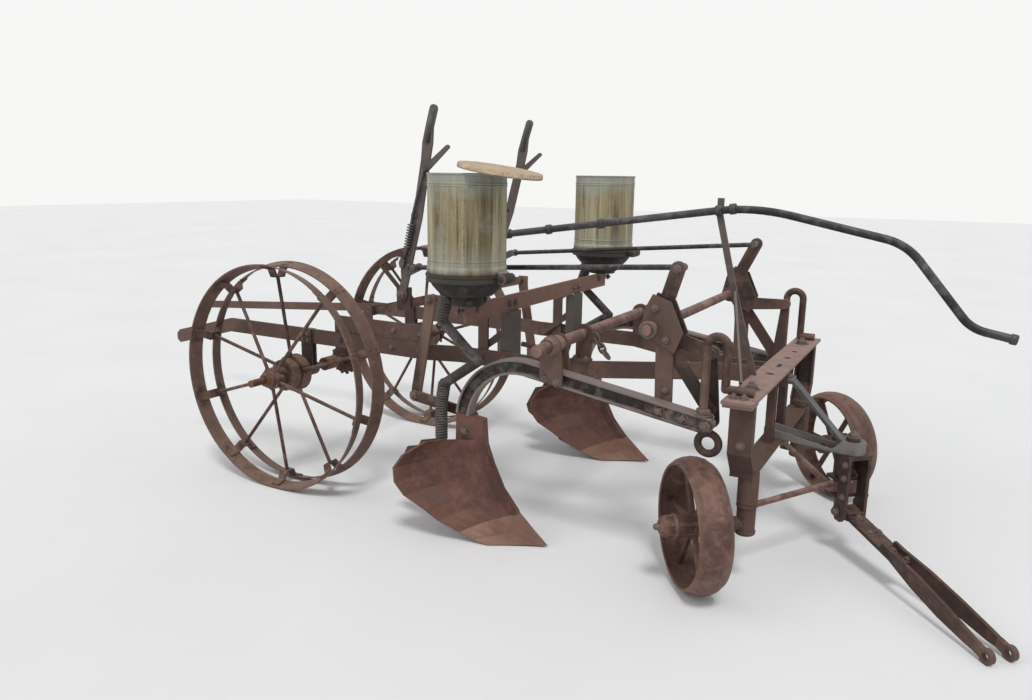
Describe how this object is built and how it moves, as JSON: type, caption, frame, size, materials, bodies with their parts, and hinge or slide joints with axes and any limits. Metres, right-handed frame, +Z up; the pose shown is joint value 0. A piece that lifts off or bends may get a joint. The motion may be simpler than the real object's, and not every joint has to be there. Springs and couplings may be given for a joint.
{
  "type": "two-row lister planter",
  "caption": "Old tractor-drawn two-row lister planter: steel wheels, two plough bottoms with seed hoppers, levers, steered front truck and a tongue resting on the ground.",
  "frame": {"origin": "on the ground, under the middle of the whole machine's box as it stands", "axes": "+X forward, towards the hitch; +Y to the machine's left; +Z up"},
  "size_m": [4.3369, 1.519, 1.602],
  "materials": {
    "black_casting": "black with green traces",
    "dark_steel": "dark, dull",
    "galvanised": "stained galvanised sheet",
    "green_paint": "worn green paint over rust",
    "lid_wood": "weathered, dry",
    "rusted_steel": "rough, rusted",
    "worn_steel": "rubbed, half rusted"
  },
  "bodies": {
    "frame": {"main_rail_right": "rusted_steel", "main_rail_left": "rusted_steel", "side_plates": "rusted_steel", "axle_hangers": "rusted_steel", "cross_plank": "rusted_steel", "plank_posts": "green_paint", "plank_braces": "rusted_steel", "seed_base_right": "black_casting", "seed_base_left": "black_casting", "seed_tube_right": "dark_steel", "seed_tube_left": "dark_steel", "lever_right": "rusted_steel", "lever_left": "rusted_steel", "quadrants": "rusted_steel", "lever_bars": "rusted_steel", "hanger_straps": "rusted_steel", "depth_rod_right": "dark_steel", "depth_rod_left": "dark_steel", "trip_pipe": "dark_steel", "trip_guide": "worn_steel", "cross_pipe": "rusted_steel", "pipe_brackets": "rusted_steel", "beam_right": "rusted_steel", "beam_left": "rusted_steel", "beam_ears": "rusted_steel", "frog_right": "rusted_steel", "frog_left": "rusted_steel", "share_right": "worn_steel", "share_left": "worn_steel", "coverers": "dark_steel", "rockshaft": "rusted_steel", "shaft_posts": "rusted_steel", "post_braces": "rusted_steel", "bell_crank_right": "rusted_steel", "bell_crank_left": "rusted_steel", "depth_links": "rusted_steel", "hairpins": "rusted_steel", "truss_top": "worn_steel", "truss_posts": "rusted_steel", "truss_bottom": "rusted_steel", "hitch_braces": "worn_steel"},
    "rear_axle": {"rear_axle": "rusted_steel", "drive_sprocket": "dark_steel"},
    "rear_wheel_right": {"rear_wheel_right": "rusted_steel"},
    "rear_wheel_left": {"rear_wheel_left": "rusted_steel"},
    "knuckle_right": {"knuckle_right": "rusted_steel"},
    "knuckle_left": {"knuckle_left": "rusted_steel"},
    "front_wheel_right": {"front_wheel_right": "rusted_steel"},
    "front_wheel_left": {"front_wheel_left": "rusted_steel"},
    "drag_link_right": {"drag_link_right": "rusted_steel"},
    "drag_link_left": {"drag_link_left": "rusted_steel"},
    "hitch_head": {"hitch_head": "rusted_steel"},
    "tongue": {"tongue": "rusted_steel"},
    "hopper_right": {"hopper_right": "galvanised"},
    "hopper_left": {"hopper_left": "galvanised"},
    "hopper_lid": {"hopper_lid": "lid_wood"}
  },
  "joints": [
    {"name": "rear_axle_turn", "type": "hinge", "parent": "frame", "child": "rear_axle", "pos_m": [-0.6065, 0, 0.486], "axis": [0, 1, 0], "continuous": true},
    {"name": "rear_wheel_right_spin", "type": "hinge", "parent": "rear_axle", "child": "rear_wheel_right", "pos_m": [-0.6065, -0.546, 0.486], "axis": [0, 1, 0], "continuous": true},
    {"name": "rear_wheel_left_spin", "type": "hinge", "parent": "rear_axle", "child": "rear_wheel_left", "pos_m": [-0.6065, 0.546, 0.486], "axis": [0, 1, 0], "continuous": true},
    {"name": "tongue_swing", "type": "hinge", "parent": "frame", "child": "hitch_head", "pos_m": [1.6275, 0, 0.395], "axis": [0, 0, 1], "range_deg": [-3, 93]},
    {"name": "knuckle_right_turn", "type": "hinge", "parent": "frame", "child": "knuckle_right", "pos_m": [1.3685, -0.449, 0.35], "axis": [0, 0, 1], "range_deg": [-3.11, 96.39]},
    {"name": "knuckle_left_turn", "type": "hinge", "parent": "frame", "child": "knuckle_left", "pos_m": [1.3685, 0.449, 0.35], "axis": [0, 0, 1], "range_deg": [-3.11, 96.39]},
    {"name": "front_wheel_right_spin", "type": "hinge", "parent": "knuckle_right", "child": "front_wheel_right", "pos_m": [1.22616, -0.55588, 0.226], "axis": [0.7997, 0.6004, 0], "continuous": true},
    {"name": "front_wheel_left_spin", "type": "hinge", "parent": "knuckle_left", "child": "front_wheel_left", "pos_m": [1.49103, 0.57812, 0.226], "axis": [0.6884, 0.7254, 0], "continuous": true},
    {"name": "drag_link_right_pivot", "type": "hinge", "parent": "knuckle_right", "child": "drag_link_right", "pos_m": [1.36338, -0.38922, 0.262], "axis": [0, 0, 1], "range_deg": [-97.26, 3.14]},
    {"name": "drag_link_left_pivot", "type": "hinge", "parent": "knuckle_left", "child": "drag_link_left", "pos_m": [1.3097, 0.46096, 0.262], "axis": [0, 0, 1], "range_deg": [-97.23, 3.14]},
    {"name": "tongue_lift", "type": "hinge", "parent": "hitch_head", "child": "tongue", "pos_m": [1.63368, -0.00654, 0.167], "axis": [0.7266, 0.6871, 0], "range_deg": [-40, 0]},
    {"name": "hopper_right_tip", "type": "hinge", "parent": "frame", "child": "hopper_right", "pos_m": [0.5335, -0.603, 0.992], "axis": [0, 1, 0], "range_deg": [0, 100]},
    {"name": "hopper_left_tip", "type": "hinge", "parent": "frame", "child": "hopper_left", "pos_m": [0.5335, 0.603, 0.992], "axis": [0, 1, 0], "range_deg": [0, 100]},
    {"name": "hopper_lid_lift", "type": "slide", "parent": "hopper_right", "child": "hopper_lid", "axis": [0, 0, 1], "range_m": [0, 0.06]}
  ],
  "couplings": [
    {"joint": "knuckle_right_turn", "follows": "tongue_swing", "ratio": 1.0365},
    {"joint": "knuckle_left_turn", "follows": "tongue_swing", "ratio": 1.0365},
    {"joint": "drag_link_right_pivot", "follows": "tongue_swing", "ratio": -1.0458},
    {"joint": "drag_link_left_pivot", "follows": "tongue_swing", "ratio": -1.0454}
  ]
}
